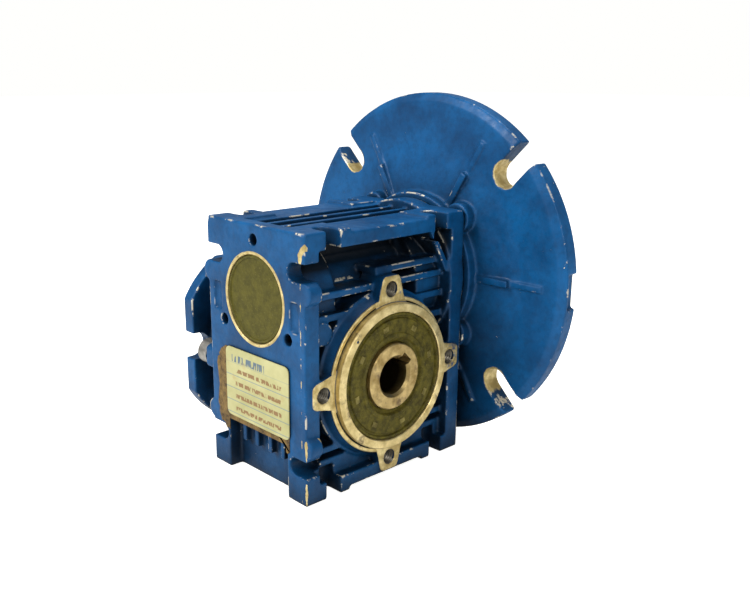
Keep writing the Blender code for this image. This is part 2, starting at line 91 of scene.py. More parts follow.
def box(name, low, high):
    shape = bmesh.new()
    bmesh.ops.create_cube(shape, size=MM)
    bmesh.ops.scale(shape, vec=Vector(high) - Vector(low), verts=shape.verts)
    bmesh.ops.translate(shape, vec=(Vector(high) + Vector(low)) / 2 * MM, verts=shape.verts)
    return place(name, shape)


def rod(name, axis, middle, radius, low, high, steps=96, tip=None):
    shape = bmesh.new()
    bmesh.ops.create_cone(shape, cap_ends=True, segments=steps, radius1=radius * MM,
                          radius2=(radius if tip is None else tip) * MM, depth=(high - low) * MM)
    bmesh.ops.translate(shape, vec=Vector((*middle, (low + high) / 2)) * MM, verts=shape.verts)
    return place(name, shape, axis)


def prism(name, axis, outline, low, high):
    shape = bmesh.new()
    verts = [shape.verts.new(Vector((a, b, low)) * MM) for a, b in outline]
    face = shape.faces.new(verts)
    made = bmesh.ops.extrude_face_region(shape, geom=[face])
    moved = [item for item in made["geom"] if isinstance(item, bmesh.types.BMVert)]
    bmesh.ops.translate(shape, vec=Vector((0, 0, (high - low) * MM)), verts=moved)
    bmesh.ops.recalc_face_normals(shape, faces=shape.faces)
    return place(name, shape, axis)


def lathe(name, axis, centre, profile, steps=160):
    """The closed profile of (height, radius), spun round the axis through the centre."""
    _, _, along = AXES[axis]
    shape = bmesh.new()
    verts = [shape.verts.new(Vector((r, 0, h - centre[along])) * MM) for h, r in profile]
    edges = [shape.edges.new(pair) for pair in zip(verts, verts[1:] + verts[:1])]
    bmesh.ops.spin(shape, geom=verts + edges, cent=(0, 0, 0), axis=(0, 0, 1), angle=2 * math.pi, steps=steps,
                   use_merge=True)
    bmesh.ops.remove_doubles(shape, verts=shape.verts, dist=1e-6)
    loose = [edge for edge in shape.edges if not edge.link_faces]
    bmesh.ops.delete(shape, geom=loose, context="EDGES")
    bmesh.ops.recalc_face_normals(shape, faces=shape.faces)
    return place(name, shape, axis, centre)


def ring_points(radius, steps, middle=(0.0, 0.0)):
    turn = [2 * math.pi * i / steps for i in range(steps)]
    return [(middle[0] + radius * math.cos(t), middle[1] + radius * math.sin(t)) for t in turn]


def turned(outline, angle, middle=(0.0, 0.0)):
    c, s = math.cos(math.radians(angle)), math.sin(math.radians(angle))
    return [(middle[0] + a * c - b * s, middle[1] + a * s + b * c) for a, b in outline]


def swapped(outline):
    return [(b, a) for a, b in outline]


def slot_outline(inner, outer, width):
    half = width / 2
    turn = [math.radians(90 + 180 * i / 24) for i in range(25)]
    tip = [(inner + half + half * math.cos(t), half * math.sin(t)) for t in turn]
    return [*tip, (outer, -half), (outer, half)]


def use(target, operation, tools):
    for tool in tools:
        modifier = target.modifiers.new(tool.name, "BOOLEAN")
        modifier.operation = operation
        modifier.solver = "MANIFOLD"
        modifier.object = tool
        tool.hide_render = True
    return target


def join(target, *tools):
    return use(target, "UNION", tools)


def cut(target, *tools):
    return use(target, "DIFFERENCE", tools)


def tools_of(obj):
    """The hidden objects that an object's Booleans use, each after its own."""
    for modifier in obj.modifiers:
        if modifier.type == "BOOLEAN":
            yield from tools_of(modifier.object)
            yield modifier.object


def finish_piece(obj, name, voxel=None, smooth=0, sharp=30):
    """Freezes the Booleans into one mesh in the frame's coordinates.

    Where a voxel size is given, the piece is remeshed and smoothed as a casting.
    """
    graph = bpy.context.evaluated_depsgraph_get()
    mesh = bpy.data.meshes.new_from_object(obj.evaluated_get(graph))
    mesh.transform(obj.matrix_world)
    used = list(dict.fromkeys(tools_of(obj)))
    for tool in [*used, obj]:
        bpy.data.objects.remove(tool)
    mesh.name = name
    made = bpy.data.objects.new(name, mesh)
    bpy.context.scene.collection.objects.link(made)
    mesh.shade_smooth()
    if voxel:
        remesh = made.modifiers.new("cast_skin", "REMESH")
        remesh.mode = "VOXEL"
        remesh.voxel_size = voxel * MM
        remesh.use_smooth_shade = True
        soft = made.modifiers.new("cast_edges", "SMOOTH")
        soft.factor = 0.5
        soft.iterations = smooth
    else:
        mesh.set_sharp_from_angle(angle=math.radians(sharp))
    return made


def show(obj, body, look, *nodes):
    """The piece rides its body in this look, and stands for these nodes."""
    obj.data.materials.clear()
    obj.data.materials.append(look)
    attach(obj, body)
    if nodes:
        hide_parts(*nodes)
    return obj


# Looks


class Look:
    """A material under construction, whose nodes are added one by one."""

    def __init__(self, name, slot, roughness, metallic=0.0):
        self.material = bpy.data.materials.new(name)
        self.material.use_nodes = True
        self.tree = self.material.node_tree
        self.shader = self.tree.nodes["Principled BSDF"]
        self.shader.inputs["Roughness"].default_value = roughness
        self.shader.inputs["Metallic"].default_value = metallic
        self.place = self.node("ShaderNodeTexCoord").outputs["Object"]

    def node(self, kind, **settings):
        made = self.tree.nodes.new(kind)
        for key, value in settings.items():
            setattr(made, key, value)
        return made

    def link(self, source, target):
        self.tree.links.new(source, target)

    def feed(self, node, key, value):
        if isinstance(value, bpy.types.NodeSocket):
            self.link(value, node.inputs[key])
        else:
            node.inputs[key].default_value = value

    def noise(self, scale, detail=4.0, rough=0.6, squeeze=None):
        made = self.node("ShaderNodeTexNoise")
        made.inputs["Scale"].default_value = scale
        made.inputs["Detail"].default_value = detail
        made.inputs["Roughness"].default_value = rough
        place = self.place
        if squeeze:
            mapping = self.node("ShaderNodeMapping")
            mapping.inputs["Scale"].default_value = squeeze
            self.link(place, mapping.inputs["Vector"])
            place = mapping.outputs["Vector"]
        self.link(place, made.inputs["Vector"])
        return made.outputs["Fac"]

    def step(self, value, low, high, to_low=0.0, to_high=1.0):
        made = self.node("ShaderNodeMapRange")
        made.inputs["From Min"].default_value = low
        made.inputs["From Max"].default_value = high
        made.inputs["To Min"].default_value = to_low
        made.inputs["To Max"].default_value = to_high
        self.link(value, made.inputs["Value"])
        return made.outputs["Result"]

    def math(self, operation, one, two=0.0):
        made = self.node("ShaderNodeMath", operation=operation)
        self.feed(made, 0, one)
        self.feed(made, 1, two)
        return made.outputs[0]

    def mix(self, amount, one, two):
        made = self.node("ShaderNodeMix", data_type="RGBA")
        self.feed(made, 0, amount)
        self.feed(made, 6, one if isinstance(one, bpy.types.NodeSocket) else (*one, 1.0))
        self.feed(made, 7, two if isinstance(two, bpy.types.NodeSocket) else (*two, 1.0))
        return made.outputs[2]

    def edges(self, low, high):
        """1 on outer edges, 0 on flat faces."""
        return self.step(self.node("ShaderNodeNewGeometry").outputs["Pointiness"], low, high)

    def coordinates(self):
        """The place in millimetres about the gearbox's axes, as three values."""
        split = self.node("ShaderNodeSeparateXYZ")
        self.link(self.place, split.inputs[0])
        made = []
        for index, shift in enumerate(ORIGIN):
            scaled = self.math("MULTIPLY", split.outputs[index], 1000.0)
            made.append(self.math("SUBTRACT", scaled, float(shift)))
        return made

    def radius(self, one, two, middle):
        """The distance from an axis at the middle, from two coordinates across it."""
        a = self.math("POWER", self.math("SUBTRACT", one, middle[0]), 2.0)
        b = self.math("POWER", self.math("SUBTRACT", two, middle[1]), 2.0)
        return self.math("SQRT", self.math("ADD", a, b))

    def bump(self, height, distance, strength=1.0):
        made = self.node("ShaderNodeBump")
        made.inputs["Distance"].default_value = distance * MM
        made.inputs["Strength"].default_value = strength
        self.link(height, made.inputs["Height"])
        before = self.shader.inputs["Normal"].links
        if before:
            self.link(before[0].from_socket, made.inputs["Normal"])
        self.link(made.outputs["Normal"], self.shader.inputs["Normal"])


CREAM = (0.58, 0.52, 0.38)


def paint_look(name, bare=None, tint=1.0):
    """Blue enamel over a casting, with painted shade in its hollows and under the top rails, chipped along its edges,
    where the pale chips also act as painted edge highlights. bare gives the masks of machined faces.
    """
    look = Look(name, "blue_paint", 0.38)
    deep = tuple(c * tint for c in (0.0005, 0.044, 0.135))
    light = tuple(c * tint for c in (0.002, 0.094, 0.270))
    colour = look.mix(look.step(look.noise(45, 5), 0.35, 0.68), deep, light)
    mottle = look.step(look.noise(420, 3), 0.45, 0.75, 0.0, 0.35)
    colour = look.mix(mottle, colour, (0.001, 0.024, 0.070))
    # Painted shade: the paint darkens towards near-black wherever ambient occlusion finds a hollow, such as between
    # fins and ribs.
    hollow = look.node("ShaderNodeAmbientOcclusion", samples=4)
    hollow.inputs["Distance"].default_value = 20 * MM
    painted_shade = look.step(hollow.outputs["AO"], 0.42, 0.90, 0.98, 0.0)
    painted_shade = look.math("MULTIPLY", painted_shade, look.step(look.noise(130, 4), 0.25, 0.6, 0.78, 1.0))
    x, y, z = look.coordinates()
    # Painted shadow in the recess under the top rails, from z 78 to 90.7 mm, inside the side faces and ends.
    shade = look.math("MULTIPLY", look.step(z, 78.0, 81.5), look.step(z, 90.7, 90.2, 0.0, 0.97))
    shade = look.math("MULTIPLY", shade, look.step(look.math("ABSOLUTE", x), 27.5, 25.5))
    shade = look.math("MULTIPLY", shade, look.step(look.math("ABSOLUTE", y), 33.6, 33.0))
    painted_shade = look.math("MAXIMUM", painted_shade, shade)
    # The painted shade, from the hollows and from under the top rails, is mixed in here as a near-black blue.
    colour = look.mix(painted_shade, colour, (0.0015, 0.004, 0.007))
    # Pale chips along outer edges and scattered flakes: worn paint, with the edge chips also serving as painted
    # highlights on edges such as the flange rim.
    chips = look.step(look.noise(110, 6, 0.7), 0.56, 0.59)
    wear_and_edge_highlight = look.math("MULTIPLY", look.edges(0.515, 0.540), chips)
    flakes = look.step(look.noise(210, 5, 0.75), 0.715, 0.73)
    wear_and_edge_highlight = look.math("MAXIMUM", wear_and_edge_highlight, flakes)
    metal = look.mix(look.noise(900, 2), CREAM, (0.80, 0.76, 0.64))
    colour = look.mix(wear_and_edge_highlight, colour, metal)
    if bare:
        mask = bare(look)
        patina = look.mix(look.step(look.noise(260, 5), 0.4, 0.65), (0.46, 0.345, 0.13), (0.82, 0.68, 0.34))
        colour = look.mix(mask, colour, patina)
        wear_and_edge_highlight = look.math("MAXIMUM", wear_and_edge_highlight, mask)
    look.link(colour, look.shader.inputs["Base Color"])
    look.link(look.step(look.noise(300, 3), 0.3, 0.7, 0.34, 0.55), look.shader.inputs["Roughness"])
    look.link(look.math("MULTIPLY", wear_and_edge_highlight, 0.55), look.shader.inputs["Metallic"])
    look.shader.inputs["Specular IOR Level"].default_value = 0.22
    look.bump(look.noise(520, 3), 0.10)
    look.bump(look.noise(60, 3), 0.35)
    return look.material


def housing_bare(look):
    """The housing's machined ears and cap bore rim, and the chips along its near vertical edge."""
    x, y, z = look.coordinates()
    away = look.radius(y, z, (0, OUT_Z))
    ear = look.math("MULTIPLY", look.step(x, 28.6, 28.75), look.step(away, 27.6, 27.9))
    ear = look.math("MULTIPLY", ear, look.step(away, 38.6, 38.3))
    rim = look.step(look.radius(x, z, (0, WORM_Z)), 17.35, 17.15)
    rim = look.math("MULTIPLY", rim, look.step(y, -36.0, -39.0))
    scuffed = look.step(look.noise(150, 4), 0.66, 0.56)
    machined = look.math("MULTIPLY", look.math("MAXIMUM", ear, rim), scuffed)
    slant = look.math("ADD", x, look.step(z, 93.0, 89.8, 0.0, 2.3))
    slant = look.math("ABSOLUTE", look.math("SUBTRACT", slant, HALF_WIDTH))
    side = look.math("ABSOLUTE", look.math("SUBTRACT", x, HALF_WIDTH))
    front = look.math("ABSOLUTE", look.math("ADD", y, HALF_LENGTH))
    ragged = look.step(look.noise(190, 5), 0.2, 0.8, -0.8, 0.8)
    big = look.math("MULTIPLY", look.step(z, 86.3, 88.5, 0.3, 1.1), look.step(z, 94.0, 92.5))
    big = look.math("MULTIPLY", big, look.step(z, 86.0, 86.4))
    small = look.math("MULTIPLY", look.step(z, 16.5, 17.0, 0.0, 0.55), look.step(z, 25.0, 24.5))
    low = look.math("ADD", small, look.step(z, 9.0, 8.5, 0.0, 0.55))
    high = look.math("ADD", look.math("MAXIMUM", slant, front), ragged)
    corner = look.math("ADD", look.math("MAXIMUM", side, front), ragged)
    chip = look.math("MAXIMUM", look.math("SUBTRACT", big, high), look.math("SUBTRACT", low, corner))
    chip = look.math("MULTIPLY", look.math("GREATER_THAN", chip, 0.08), look.math("GREATER_THAN", 1.0, side))
    chip = look.math("MAXIMUM", chip, look.math("GREATER_THAN", look.math("SUBTRACT", big, high), 0.08))
    return look.math("MAXIMUM", machined, chip)


def motor_bare(look):
    """Bare metal round the open slots of the motor flange, and its machined motor side."""
    x, y, z = look.coordinates()
    side = look.math("SUBTRACT", look.math("ABSOLUTE", x), SLOT_SEAT)
    up = look.math("SUBTRACT", look.math("ABSOLUTE", look.math("SUBTRACT", z, WORM_Z)), SLOT_SEAT)
    away = look.radius(side, up, (0.0, 0.0))
    edge = look.math("ADD", away, look.step(look.noise(140, 4), 0.2, 0.8, -0.9, 0.9))
    slot = look.step(edge, 5.7, 5.3)
    return look.math("MAXIMUM", slot, look.step(y, 54.3, 54.7))


def flange_bare(look):
    """The machined outer face and bore of the output flange."""
    x, y, z = look.coordinates()
    bore = look.step(look.radius(y, z, (0, OUT_Z)), 24.4, 24.0)
    return look.math("MAXIMUM", look.step(x, -54.0, -54.35), bore)


def metal_look(name, slot, dark, light, roughness, grain=None, rust=0.0, bore=0.0):
    """Machined metal with fine turning marks, stained by brown patches, with painted shade deepening inside the
    output bore.
    """
    look = Look(name, slot, roughness, 0.9)
    colour = look.mix(look.step(look.noise(230, 5), 0.35, 0.68), dark, light)
    if rust:
        stain = look.step(look.noise(120, 6, 0.7), 0.60 - rust * 0.2, 0.70 - rust * 0.1, 0.0, 0.85)
        colour = look.mix(stain, colour, (0.10, 0.055, 0.018))
        shine = look.math("SUBTRACT", 0.9, look.math("MULTIPLY", stain, 0.7))
        look.link(shine, look.shader.inputs["Metallic"])
    if bore:
        # Painted shade inside the output bore, darker further in from the shaft's ends.
        x, y, z = look.coordinates()
        inside = look.step(look.radius(y, z, (0, OUT_Z)), bore, bore - 0.3)
        inside = look.math("MULTIPLY", inside, look.step(look.math("ABSOLUTE", x), 30.9, 26.0, 0.35, 0.97))
        colour = look.mix(inside, colour, (0.016, 0.009, 0.003))
    look.link(colour, look.shader.inputs["Base Color"])
    look.link(look.step(look.noise(500, 3), 0.3, 0.7, roughness - 0.08, roughness + 0.14),
              look.shader.inputs["Roughness"])
    if grain:
        look.bump(look.noise(800, 2, 0.5, grain), 0.04)
    return look.material


def rubber_look(name, dark, light, roughness=0.62):
    look = Look(name, "seal_rubber", roughness)
    colour = look.mix(look.step(look.noise(330, 5, 0.7), 0.38, 0.66), dark, light)
    dust = look.step(look.noise(1400, 2), 0.60, 0.72, 0.0, 0.5)
    colour = look.mix(dust, colour, (0.20, 0.165, 0.045))
    look.link(colour, look.shader.inputs["Base Color"])
    look.shader.inputs["Specular IOR Level"].default_value = 0.2
    look.bump(look.noise(900, 3), 0.08)
    return look.material


def label_look():
    """Cream foil with a blue heading and rows of brown marks, none of which can be read."""
    look = Look("label_print", "label_foil", 0.5)
    x, _, z = look.coordinates()
    paper = look.mix(look.step(look.noise(90, 4), 0.35, 0.7), (0.40, 0.38, 0.155), (0.53, 0.50, 0.24))
    row = look.math("FRACT", look.math("DIVIDE", look.math("SUBTRACT", z, 23.4), 5.0))
    line = look.math("MULTIPLY", look.step(row, 0.30, 0.34), look.step(row, 0.66, 0.62))
    line = look.math("MULTIPLY", line, look.step(z, 43.0, 42.6))
    marks = look.step(look.noise(1000, 1, 0.4, (1.0, 0.0, 0.35)), 0.44, 0.48)
    inside = look.math("MULTIPLY", look.step(x, -12.0, -11.6), look.step(x, 16.0, 15.6))
    typed = look.math("MULTIPLY", look.math("MULTIPLY", line, marks), inside)
    colour = look.mix(look.math("MULTIPLY", typed, 0.9), paper, (0.22, 0.10, 0.025))
    head = look.math("MULTIPLY", look.step(z, 43.9, 44.1), look.step(z, 46.9, 46.7))
    head = look.math("MULTIPLY", head, look.step(look.noise(900, 1, 0.4, (1.0, 0.0, 0.2)), 0.46, 0.50))
    width = look.math("MULTIPLY", look.step(x, -14.0, -13.6), look.step(x, 6.0, 5.6))
    head = look.math("MULTIPLY", head, width)
    colour = look.mix(look.math("MULTIPLY", head, 0.85), colour, (0.03, 0.09, 0.18))
    rule = look.math("MULTIPLY", look.step(row, 0.02, 0.05), look.step(row, 0.12, 0.09))
    rule = look.math("MULTIPLY", rule, look.step(z, 43.8, 43.6))
    colour = look.mix(look.math("MULTIPLY", rule, 0.6), colour, (0.06, 0.16, 0.26))
    stain = look.step(look.noise(170, 5), 0.60, 0.72, 0.0, 0.55)
    colour = look.mix(stain, colour, (0.42, 0.30, 0.10))
    look.link(colour, look.shader.inputs["Base Color"])
    look.bump(look.noise(200, 2), 0.06)
    return look.material


def glue_look():
    look = Look("old_glue", "label_foil", 0.75)
    patches = look.step(look.noise(260, 6, 0.75), 0.38, 0.62)
    colour = look.mix(patches, (0.045, 0.024, 0.006), (0.23, 0.14, 0.035))
    look.link(colour, look.shader.inputs["Base Color"])
    look.bump(look.noise(500, 4), 0.15)
    return look.material


PAINT = paint_look("housing_paint", housing_bare)
MOTOR_PAINT = paint_look("motor_flange_paint", motor_bare, 1.12)
FLANGE_PAINT = paint_look("output_flange_paint", flange_bare)
COVER_PAINT = paint_look("cover_paint")
HUB = metal_look("hub_steel", "shaft_steel", (0.30, 0.205, 0.07), (0.66, 0.50, 0.22), 0.38,
                 (0.1, 1, 1), 0.25, 8.25)
THREAD = metal_look("thread_steel", "screw_steel", (0.055, 0.05, 0.04), (0.20, 0.18, 0.14), 0.42)
MACHINED = metal_look("turned_aluminium", "blue_paint", (0.50, 0.38, 0.15), (0.90, 0.74, 0.37), 0.42,
                      (1, 1, 1), 0.12)
STEEL = metal_look("shaft_steel_worn", "shaft_steel", (0.22, 0.165, 0.07), (0.52, 0.43, 0.23), 0.38,
                   (0.1, 1, 1), 0.35)
SCREW = metal_look("screw_zinc", "screw_steel", (0.22, 0.21, 0.19), (0.44, 0.42, 0.38), 0.40, None, 0.15)
RACE = metal_look("bearing_ground", "bearing_steel", (0.50, 0.50, 0.49), (0.68, 0.68, 0.66), 0.20)
BRONZE = metal_look("wheel_bronze_cut", "wheel_bronze", (0.42, 0.24, 0.08), (0.62, 0.40, 0.15), 0.32)
SEAL = rubber_look("seal_face", (0.044, 0.036, 0.003), (0.125, 0.104, 0.011))
CAP = rubber_look("cap_face", (0.058, 0.051, 0.004), (0.098, 0.086, 0.009), 0.55)
PAD = rubber_look("seal_pad", (0.10, 0.082, 0.018), (0.26, 0.215, 0.060))
# Black rubber for the motor seal, also used as painted shade for the ring at the spigot's foot.
BLACK_RUBBER_AND_SHADE = rubber_look("black_rubber_and_gap_shade", (0.006, 0.006, 0.005), (0.016, 0.014, 0.010), 0.7)
LABEL = label_look()
GLUE = glue_look()


# The castings


def ear_outline():
    side = [(24, 9), (26, 7.9), (28.5, 6.6), (32, 5.6), (35.8, 4.7), (36.9, 4.1), (EAR_TIP, 3.2)]
    return side + [(a, -b) for a, b in reversed(side)]


def ears(name, low, high):
    outlines = {angle: turned(ear_outline(), angle, (0, OUT_Z)) for angle in QUARTERS}
    return [prism(f"{name}{angle}", "X", outline, low, high) for angle, outline in outlines.items()]


def ear_holes(name, radius, low, high):
    places = [turned([(EAR_PITCH, 0)], angle, (0, OUT_Z))[0] for angle in QUARTERS]
    return [rod(f"{name}{i}", "X", middle, radius, low, high, 48) for i, middle in enumerate(places)]


def end_plate(name, low, high):
    r = 4.0
    turn = [math.radians(90 * i / 8) for i in range(9)]
    corner = [(HALF_WIDTH, 0.0)]
    corner += [(HALF_WIDTH - r + r * math.cos(t), HEIGHT - r + r * math.sin(t)) for t in turn]
    return prism(name, "Y", swapped(corner + [(-x, z) for x, z in reversed(corner)]), low, high)


def housing_mass():
    body = box("mass", (-16, -37, 12), (16, 37, 76))
    join(body, box("crown", (-9, -37, 70), (9, 37, 91)))
    join(body, rod("wheel_case", "X", (0, OUT_Z), 32.0, -22, 24.5))
    join(body, rod("cover_seat", "X", (0, OUT_Z), 36.0, -25, -13))
    profile = [(20, 0), (20, 31.0), (24.5, 31.0), (28.4, 29.2), (28.4, 26.8), (31.3, 26.8), (31.3, 0)]
    join(body, lathe("output_boss", "X", OUTPUT_AXIS, profile))
    join(body, rod("worm_case", "Y", (WORM_Z, 0), 16.5, -38, 38))
    join(body, rod("cap_case", "Y", (WORM_Z, 0), 21.0, -38, -20))
    join(body, rod("motor_case", "Y", (WORM_Z, 0), 23.0, 19, 38))
    join(body, box("base_web", (-23.7, -33.2, 5.7), (23.7, 33.0, 13)))
    join(body, rod("motor_boss", "Y", (WORM_Z, 0), 29.0, 32, 39.6))
    join(body, end_plate("cap_plate", -HALF_LENGTH, -33.5), end_plate("motor_plate", 33.1, HALF_LENGTH))
    for side in (1, -1):
        for low, high in ((90.5, HEIGHT), (0.0, 6.5)):
            x = sorted((side * 13.0, side * HALF_WIDTH))
            join(body, box(f"rail{side}{low}", (x[0], -39.5, low), (x[1], 39.5, high)))
        for z, y0 in ((57.5, -34.5), (65.5, -34.5), (73.5, -34.5), (79.0, -4.0), (17.0, -34.5)):
            x = sorted((side * 14.0, side * 24.5))
            join(body, box(f"rib{side}{z}", (x[0], y0, z - 1.3), (x[1], 34.5, z + 1.3)))
    join(body, *ears("ear", 17, EAR_PLANE))
    join(body, rod("side_boss", "X", (-29.5, 60.5), 4.2, 14, 25.3))
    join(body, prism("gusset", "X", [(21.5, 91), (23.5, 91), (33.5, 75), (31.0, 74)], 14, 27.4))
    for i, middle in enumerate(((0, 72.5), (32.5, 40), (0, 7.5), (-32.5, 40))):
        join(body, rod(f"lug{i}", "X", middle, 5.0, -25, -13, 48))
    return body


def housing_openings(body):
    cut(body, box("end_gap", (-17.5, -41, -1), (17.5, -34.6, 20.0)))
    cut(body, box("motor_gap", (-17.5, 33.6, -1), (17.5, 41, 22)))
    cut(body, box("trough", (-13, -34, 93.5), (13, 31.5, 98)))
    for x in (-22.3, 22.3):
        cut(body, box(f"groove{x}", (x - 2.2, -41, 62.5), (x + 2.2, -39.1, 73)))
    for x in (-11.5, -4.0, 4.0, 11.5):
        join(body, box(f"low_fin{x}", (x - 1.1, -37.5, 12), (x + 1.1, 37.5, 22.5)))
        join(body, box(f"top_fin{x}", (x - 1.1, -34.5, 90), (x + 1.1, 33.6, 95.8)))
    inner = FOOT_X - SLOT_WIDTH / 2
    for side, angle in ((1, 0), (-1, 180)):
        for z in (13.5, 83.5):
            outline = [(z + b, a) for a, b in turned(slot_outline(inner, 36, SLOT_WIDTH), angle)]
            cut(body, prism(f"end_slot{side}{z}", "Y", outline, -41, -30))
        for y in (FOOT_Y, -FOOT_Y):
            outline = turned(slot_outline(inner, 36, SLOT_WIDTH), angle, (0, y))
            cut(body, prism(f"top_slot{side}{y}", "Z", outline, 86.5, 98))
            cut(body, prism(f"foot_slot{side}{y}", "Z", outline, -1, 10.5))
        x = sorted((side * 12.9, side * 30))
        cut(body, box(f"top_relief{side}", (x[0], -19, 95.7), (x[1], 19, 99)))
        cut(body, box(f"foot_relief{side}", (x[0], -19, -1), (x[1], 19, 1.3)))
        for z in (21.5, 76.5):
            outline = ring_points(4.0, 40, (z, side * 27.0))
            join(body, prism(f"lip{side}{z}", "Y", outline, -HALF_LENGTH, -34.5))


def make_housing():
    body = housing_mass()
    housing_openings(body)
    profile = [(-30, 0), (-30, 38.6), (-25, 38.6), (-25, 29), (-12, 29), (-12, 26), (10.4, 26), (10.4, 23.7),
               (27.8, 23.7), (27.8, 24.5), (33, 24.5), (33, 0)]
    cut(body, lathe("output_bores", "X", OUTPUT_AXIS, profile))
    profile = [(-42, 0), (-42, 16.2), (-33.4, 16.2), (-33.4, 17.3), (-32.0, 17.3), (-32.0, 16.2), (-21.2, 16.2),
               (-21.2, 12.5), (20.7, 12.5), (20.7, 18.7), (42, 18.7), (42, 0)]
    cut(body, lathe("worm_bores", "Y", WORM_AXIS, profile))
    cut(body, *ear_holes("tapped", 2.9, 17.8, 33), *ear_holes("far_tapped", 2.6, -30, -15))
    for angle in (90, 210, 330):
        x, z = turned([(CAP_PITCH, 0)], angle, (0, WORM_Z))[0]
        cut(body, rod(f"cap_hole{angle}", "Y", (z, x), 2.1, -42, -35, 32))
    show(finish_piece(body, "housing_skin", 0.42, 7), "housing", PAINT, "housing")


def make_output_seat():
    """The turned spigot and the land round it, the threads of the ears and the rim of the cap bore."""
    profile = [(28.2, 27.5), (31.1, 27.5), (SPIGOT_PLANE, 27.1), (SPIGOT_PLANE, 24.5), (31.2, 24.2),
               (28.2, 24.2)]
    ring = lathe("spigot", "X", OUTPUT_AXIS, profile, 240)
    cut(ring, rod("oil_dot", "X", turned([(25.6, 0)], 138, (0, OUT_Z))[0], 0.55, 31.0, 33, 24))
    show(finish_piece(ring, "spigot_face"), "housing", MACHINED)
    # A black ring between the spigot and the land, painted as the shade at the spigot's foot.
    groove = lathe("gap", "X", OUTPUT_AXIS, [(28.3, 28.15), (28.72, 28.15), (28.72, 27.4), (28.3, 27.4)], 200)
    show(finish_piece(groove, "spigot_foot_shade"), "housing", BLACK_RUBBER_AND_SHADE)
    profile = [(28.2, 29.5), (28.6, 29.5), (28.9, 29.2), (28.9, 28.15), (28.3, 28.05)]
    show(finish_piece(lathe("land", "X", OUTPUT_AXIS, profile, 240), "boss_land"), "housing", MACHINED)
    for i, middle in enumerate(turned([(EAR_PITCH, 0)], angle, (0, OUT_Z))[0] for angle in QUARTERS):
        show(thread_ring(f"ear_thread_{i + 1}", middle, 2.92, 2.45, 19.0, 28.9), "housing", THREAD)
    profile = [(-39.9, 16.1), (-40.15, 16.3), (-40.15, 17.0), (-39.9, 17.2), (-38.5, 17.2), (-38.5, 16.1)]
    show(finish_piece(lathe("cap_ring", "Y", WORM_AXIS, profile, 200), "cap_bore_rim"), "housing", MACHINED)


def thread_ring(name, middle, outer, inner, low, high, pitch=1.0):
    """An internal thread along X: a ridge wound round the hole's wall."""
    shape = bmesh.new()
    per_turn = 28
    steps = round((high - low - pitch) / pitch * per_turn)
    before = None
    for i in range(steps + 1):
        turn = 2 * math.pi * i / per_turn
        height = low + pitch / 2 + pitch * i / per_turn
        section = []
        for radius, offset in ((outer, -0.47 * pitch), (inner, 0.0), (outer, 0.47 * pitch)):
            y, z = middle[0] + radius * math.cos(turn), middle[1] + radius * math.sin(turn)
            section.append(shape.verts.new((Vector((height + offset, y, z)) + ORIGIN) * MM))
        if before:
            for k in range(3):
                n = (k + 1) % 3
                shape.faces.new((before[k], before[n], section[n], section[k]))
        else:
            shape.faces.new(section)
        before = section
    shape.faces.new(before)
    bmesh.ops.recalc_face_normals(shape, faces=shape.faces)
    mesh = bpy.data.meshes.new(name)
    shape.to_mesh(mesh)
    shape.free()
    mesh.shade_smooth()
    mesh.set_sharp_from_angle(angle=math.radians(30))
    obj = bpy.data.objects.new(name, mesh)
    bpy.context.scene.collection.objects.link(obj)
    return obj


def make_side_cover():
    cover = rod("cover", "X", (0, OUT_Z), 36.0, -EAR_PLANE, -25.3)
    join(cover, *ears("cover_ear", -EAR_PLANE, -25.3))
    join(cover, rod("plug", "X", (0, OUT_Z), 28.7, -26, -12.4))
    join(cover, rod("cover_spigot", "X", (0, OUT_Z), SPIGOT_RADIUS, -SPIGOT_PLANE, -28))
    cut(cover, rod("worm_room", "Y", (WORM_Z, 0), 19.2, -36, 36))
    cut(cover, rod("far_seat", "X", (0, OUT_Z), 23.7, -33, -10))
    cut(cover, *ear_holes("cover_hole", 2.5, -30, -24))
    for angle in DIAGONALS:
        middle = turned([(COVER_PITCH, 0)], angle, (0, OUT_Z))[0]
        cut(cover, rod(f"head_seat{angle}", "X", middle, 3.2, -30, -27, 40))
    show(finish_piece(cover, "side_cover_skin", 0.42, 4), "housing", COVER_PAINT, "side_cover")


def make_output_flange():
    profile = [(-29.3, 33), (-36, 33), (-36, 26.8), (-48.5, 26.8), (-48.5, 40), (OUTPUT_FACE, 40),
               (OUTPUT_FACE, 25), (-50.5, 25), (-50.5, 23.6), (-31.8, 23.6), (-31.8, 27.9), (-29.3, 27.9)]
    flange = lathe("flange", "X", OUTPUT_AXIS, profile)
    for angle in QUARTERS:
        lobe = prism(f"lobe{angle}", "X", turned(ear_outline(), angle, (0, OUT_Z)), -36, -29.3)
        join(flange, cut(lobe, rod(f"lobe_trim{angle}", "X", (0, OUT_Z), 30.0, -37, -28)))
    for angle in QUARTERS:
        flat = turned([(35, -50), (60, -50), (60, 50), (35, 50)], angle, (0, OUT_Z))
        cut(flange, prism(f"flat{angle}", "X", flat, -56, -47))
        outline = turned(slot_outline(EAR_PITCH - 5.4, 46, 10.8), angle, (0, OUT_Z))
        cut(flange, prism(f"open{angle}", "X", outline, -56, -47.5))
    cut(flange, *ear_holes("flange_hole", 3.2, -37, -28))
    show(finish_piece(flange, "output_flange_skin", 0.42, 5), "housing", FLANGE_PAINT, "output_flange")


